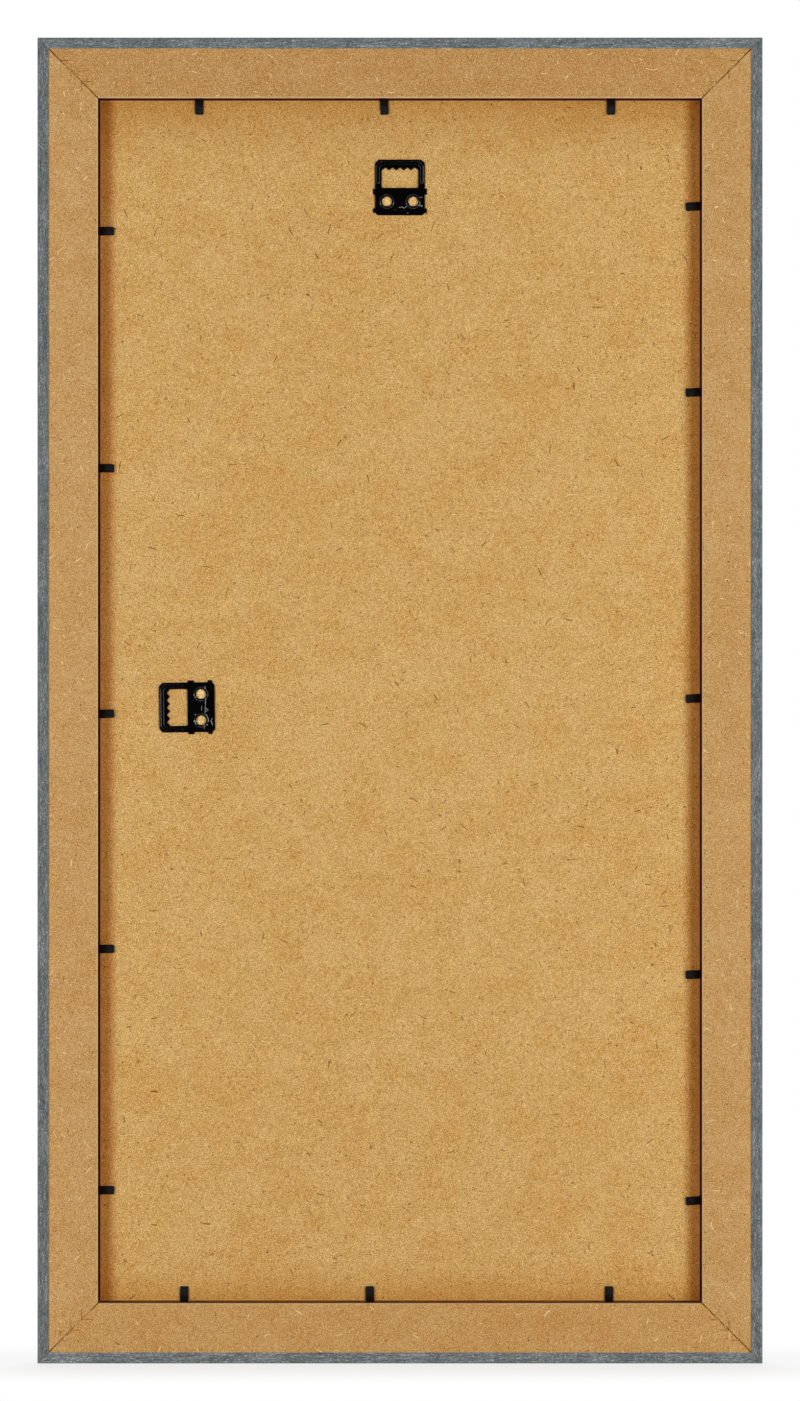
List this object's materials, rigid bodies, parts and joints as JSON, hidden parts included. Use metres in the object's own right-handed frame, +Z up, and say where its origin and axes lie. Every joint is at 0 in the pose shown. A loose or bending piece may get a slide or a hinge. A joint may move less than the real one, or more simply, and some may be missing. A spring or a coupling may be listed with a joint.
{
  "type": "picture frame",
  "caption": "Wall picture frame with mitred foil-wrapped fibreboard rails, glass, blank insert and a backing board held by bendable points, with sawtooth hangers for portrait and landscape.",
  "frame": {"origin": "on the wall plane, which is the plane of the foil laps on the frame's back, behind the apex of the portrait hanger's middle notch", "axes": "+Z up as the frame hangs in portrait, +Y out of the wall towards the viewer of the picture, +X to the right as seen from the back"},
  "size_m": [0.362, 0.017, 0.662],
  "materials": {
    "fibreboard": "bare medium-density fibreboard, sawn and unpainted",
    "backing_board": "bare thin fibreboard, smooth pressed face with dark fibres",
    "foil": "blue-grey printed decor foil with a faint brushed wood figure, satin",
    "glass": "clear float glass",
    "insert_paper": "blank off-white sheet",
    "black_paint": "glossy black paint on pressed steel, scuffed",
    "black_points": "satin black strip steel",
    "corner_nails": "plain steel strip, dulled"
  },
  "bodies": {
    "frame": {"rail_core_top": "fibreboard", "rail_core_right": "fibreboard", "rail_core_bottom": "fibreboard", "rail_core_left": "fibreboard", "rail_foil_top": "foil", "rail_foil_right": "foil", "rail_foil_bottom": "foil", "rail_foil_left": "foil", "glass": "glass", "picture_insert": "insert_paper", "backing_board": "backing_board", "hanger_portrait": "black_paint", "hanger_landscape": "black_paint", "point_shank_top_1": "black_points", "point_shank_top_2": "black_points", "point_shank_top_3": "black_points", "point_shank_right_1": "black_points", "point_shank_right_2": "black_points", "point_shank_right_3": "black_points", "point_shank_right_4": "black_points", "point_shank_right_5": "black_points", "point_shank_bottom_1": "black_points", "point_shank_bottom_2": "black_points", "point_shank_bottom_3": "black_points", "point_shank_left_1": "black_points", "point_shank_left_2": "black_points", "point_shank_left_3": "black_points", "point_shank_left_4": "black_points", "point_shank_left_5": "black_points", "corner_nail_top_right_1": "corner_nails", "corner_nail_top_right_2": "corner_nails", "corner_nail_top_right_3": "corner_nails", "corner_nail_bottom_right_1": "corner_nails", "corner_nail_bottom_right_2": "corner_nails", "corner_nail_bottom_right_3": "corner_nails", "corner_nail_bottom_left_1": "corner_nails", "corner_nail_bottom_left_2": "corner_nails", "corner_nail_bottom_left_3": "corner_nails", "corner_nail_top_left_1": "corner_nails", "corner_nail_top_left_2": "corner_nails", "corner_nail_top_left_3": "corner_nails"},
    "tab_top_1": {"point_tab_top_1": "black_points"},
    "tab_top_2": {"point_tab_top_2": "black_points"},
    "tab_top_3": {"point_tab_top_3": "black_points"},
    "tab_right_1": {"point_tab_right_1": "black_points"},
    "tab_right_2": {"point_tab_right_2": "black_points"},
    "tab_right_3": {"point_tab_right_3": "black_points"},
    "tab_right_4": {"point_tab_right_4": "black_points"},
    "tab_right_5": {"point_tab_right_5": "black_points"},
    "tab_bottom_1": {"point_tab_bottom_1": "black_points"},
    "tab_bottom_2": {"point_tab_bottom_2": "black_points"},
    "tab_bottom_3": {"point_tab_bottom_3": "black_points"},
    "tab_left_1": {"point_tab_left_1": "black_points"},
    "tab_left_2": {"point_tab_left_2": "black_points"},
    "tab_left_3": {"point_tab_left_3": "black_points"},
    "tab_left_4": {"point_tab_left_4": "black_points"},
    "tab_left_5": {"point_tab_left_5": "black_points"}
  },
  "joints": [
    {"name": "bend_top_1", "type": "hinge", "parent": "frame", "child": "tab_top_1", "pos_m": [-0.1004, 0.00628, 0.03392], "axis": [-1, 0, 0], "range_deg": [0, 90]},
    {"name": "bend_top_2", "type": "hinge", "parent": "frame", "child": "tab_top_2", "pos_m": [-0.00797, 0.00628, 0.03393], "axis": [-0.999, 0, -0.0436], "range_deg": [0, 90]},
    {"name": "bend_top_3", "type": "hinge", "parent": "frame", "child": "tab_top_3", "pos_m": [0.10551, 0.00628, 0.03392], "axis": [-1, 0, -0.0087], "range_deg": [0, 90]},
    {"name": "bend_right_1", "type": "hinge", "parent": "frame", "child": "tab_right_1", "pos_m": [0.15043, 0.00628, -0.01933], "axis": [-0.0523, 0, 0.9986], "range_deg": [0, 90]},
    {"name": "bend_right_2", "type": "hinge", "parent": "frame", "child": "tab_right_2", "pos_m": [0.15043, 0.00628, -0.11228], "axis": [-0.0523, 0, 0.9986], "range_deg": [0, 90]},
    {"name": "bend_right_3", "type": "hinge", "parent": "frame", "child": "tab_right_3", "pos_m": [0.15043, 0.00628, -0.26533], "axis": [-0.0523, 0, 0.9986], "range_deg": [0, 90]},
    {"name": "bend_right_4", "type": "hinge", "parent": "frame", "child": "tab_right_4", "pos_m": [0.15043, 0.00628, -0.40337], "axis": [-0.0436, 0, 0.999], "range_deg": [0, 90]},
    {"name": "bend_right_5", "type": "hinge", "parent": "frame", "child": "tab_right_5", "pos_m": [0.15043, 0.00628, -0.51634], "axis": [-0.0698, 0, 0.9976], "range_deg": [0, 90]},
    {"name": "bend_bottom_1", "type": "hinge", "parent": "frame", "child": "tab_bottom_1", "pos_m": [0.1045, 0.00628, -0.56693], "axis": [1, 0, 0], "range_deg": [0, 90]},
    {"name": "bend_bottom_2", "type": "hinge", "parent": "frame", "child": "tab_bottom_2", "pos_m": [-0.01501, 0.00628, -0.56693], "axis": [0.9998, 0, 0.0174], "range_deg": [0, 90]},
    {"name": "bend_bottom_3", "type": "hinge", "parent": "frame", "child": "tab_bottom_3", "pos_m": [-0.1079, 0.00628, -0.56693], "axis": [1, 0, -0.0087], "range_deg": [0, 90]},
    {"name": "bend_left_1", "type": "hinge", "parent": "frame", "child": "tab_left_1", "pos_m": [-0.15043, 0.00628, -0.5113], "axis": [0, 0, -1], "range_deg": [0, 90]},
    {"name": "bend_left_2", "type": "hinge", "parent": "frame", "child": "tab_left_2", "pos_m": [-0.15043, 0.00628, -0.39075], "axis": [0.0087, 0, -1], "range_deg": [0, 90]},
    {"name": "bend_left_3", "type": "hinge", "parent": "frame", "child": "tab_left_3", "pos_m": [-0.15043, 0.00628, -0.27328], "axis": [0.0349, 0, -0.9994], "range_deg": [0, 90]},
    {"name": "bend_left_4", "type": "hinge", "parent": "frame", "child": "tab_left_4", "pos_m": [-0.15043, 0.00628, -0.15035], "axis": [-0.0087, 0, -1], "range_deg": [0, 90]},
    {"name": "bend_left_5", "type": "hinge", "parent": "frame", "child": "tab_left_5", "pos_m": [-0.15043, 0.00628, -0.03189], "axis": [0.0087, 0, -1], "range_deg": [0, 90]}
  ]
}
